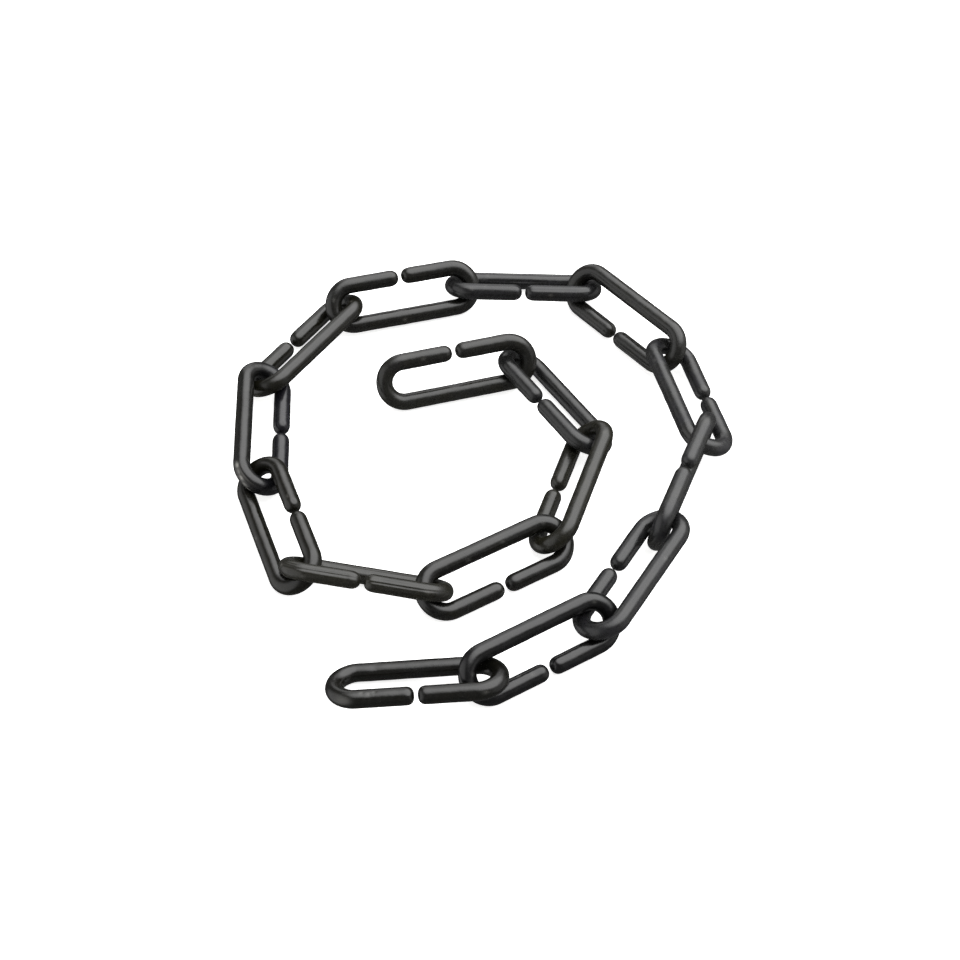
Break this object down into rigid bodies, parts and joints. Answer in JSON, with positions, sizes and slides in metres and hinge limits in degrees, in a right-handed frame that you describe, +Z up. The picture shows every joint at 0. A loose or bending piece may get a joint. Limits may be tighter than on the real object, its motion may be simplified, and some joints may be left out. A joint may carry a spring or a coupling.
{
  "type": "loose length of iron chain",
  "caption": "Loose length of iron chain laid flat in a spiral, each open-jointed link on its edge and leaning the other way from the last; for hanging, tying and pulling.",
  "frame": {"origin": "on the ground, under the middle of the chain's bounding box", "axes": "+Z up; +Y along the spiral's longer side, away from the picture's camera; +X to the picture's right"},
  "size_m": [0.2096, 0.2378, 0.0262],
  "materials": {
    "black_iron": "black satin skin of the hot-worked iron, lightly mottled, with small nicks"
  },
  "bodies": {
    "link_01": {"link_01": "black_iron"},
    "link_02": {"link_02": "black_iron"},
    "link_03": {"link_03": "black_iron"},
    "link_04": {"link_04": "black_iron"},
    "link_05": {"link_05": "black_iron"},
    "link_06": {"link_06": "black_iron"},
    "link_07": {"link_07": "black_iron"},
    "link_08": {"link_08": "black_iron"},
    "link_09": {"link_09": "black_iron"},
    "link_10": {"link_10": "black_iron"},
    "link_11": {"link_11": "black_iron"},
    "link_12": {"link_12": "black_iron"},
    "link_13": {"link_13": "black_iron"},
    "link_14": {"link_14": "black_iron"},
    "link_15": {"link_15": "black_iron"},
    "link_16": {"link_16": "black_iron"}
  },
  "joints": [
    {"name": "link_02_swing", "type": "hinge", "parent": "link_01", "child": "link_02", "pos_m": [0.01708, 0.05861, 0.01039], "axis": [0, 0, 1], "range_deg": [-3, 18]},
    {"name": "link_03_swing", "type": "hinge", "parent": "link_02", "child": "link_03", "pos_m": [0.04468, 0.01344, 0.01018], "axis": [0, 0, 1], "range_deg": [-3, 27]},
    {"name": "link_04_swing", "type": "hinge", "parent": "link_03", "child": "link_04", "pos_m": [0.02626, -0.03687, 0.0084], "axis": [0, 0, 1], "range_deg": [-3, 30]},
    {"name": "link_05_swing", "type": "hinge", "parent": "link_04", "child": "link_05", "pos_m": [-0.02045, -0.06304, 0.00868], "axis": [0, 0, 1], "range_deg": [-3, 16]},
    {"name": "link_06_swing", "type": "hinge", "parent": "link_05", "child": "link_06", "pos_m": [-0.07431, -0.0537, 0.01053], "axis": [0, 0, 1], "range_deg": [-3, 16]},
    {"name": "link_07_swing", "type": "hinge", "parent": "link_06", "child": "link_07", "pos_m": [-0.09001, -0.00381, 0.00836], "axis": [0, 0, 1], "range_deg": [-3, 19]},
    {"name": "link_08_swing", "type": "hinge", "parent": "link_07", "child": "link_08", "pos_m": [-0.09247, 0.0496, 0.00885], "axis": [0, 0, 1], "range_deg": [-3, 10]},
    {"name": "link_09_swing", "type": "hinge", "parent": "link_08", "child": "link_09", "pos_m": [-0.06038, 0.09152, 0.01035], "axis": [0, 0, 1], "range_deg": [-3, 3]},
    {"name": "link_10_swing", "type": "hinge", "parent": "link_09", "child": "link_10", "pos_m": [-0.00852, 0.10476, 0.00905], "axis": [0, 0, 1], "range_deg": [-3, 7]},
    {"name": "link_11_swing", "type": "hinge", "parent": "link_10", "child": "link_11", "pos_m": [0.04607, 0.10496, 0.00865], "axis": [0, 0, 1], "range_deg": [-3, 24]},
    {"name": "link_12_swing", "type": "hinge", "parent": "link_11", "child": "link_12", "pos_m": [0.07924, 0.06302, 0.01066], "axis": [0, 0, 1], "range_deg": [-3, 5]},
    {"name": "link_13_swing", "type": "hinge", "parent": "link_12", "child": "link_13", "pos_m": [0.09145, 0.01271, 0.01346], "axis": [0, 0, 1], "range_deg": [-3, 17]},
    {"name": "link_14_swing", "type": "hinge", "parent": "link_13", "child": "link_14", "pos_m": [0.06983, -0.03399, 0.01266], "axis": [0, 0, 1], "range_deg": [-3, 3]},
    {"name": "link_15_swing", "type": "hinge", "parent": "link_14", "child": "link_15", "pos_m": [0.04315, -0.07863, 0.01077], "axis": [0, 0, 1], "range_deg": [-3, 15]},
    {"name": "link_16_swing", "type": "hinge", "parent": "link_15", "child": "link_16", "pos_m": [-0.00105, -0.10438, 0.01046], "axis": [0, 0, 1], "range_deg": [-3, 5]}
  ]
}
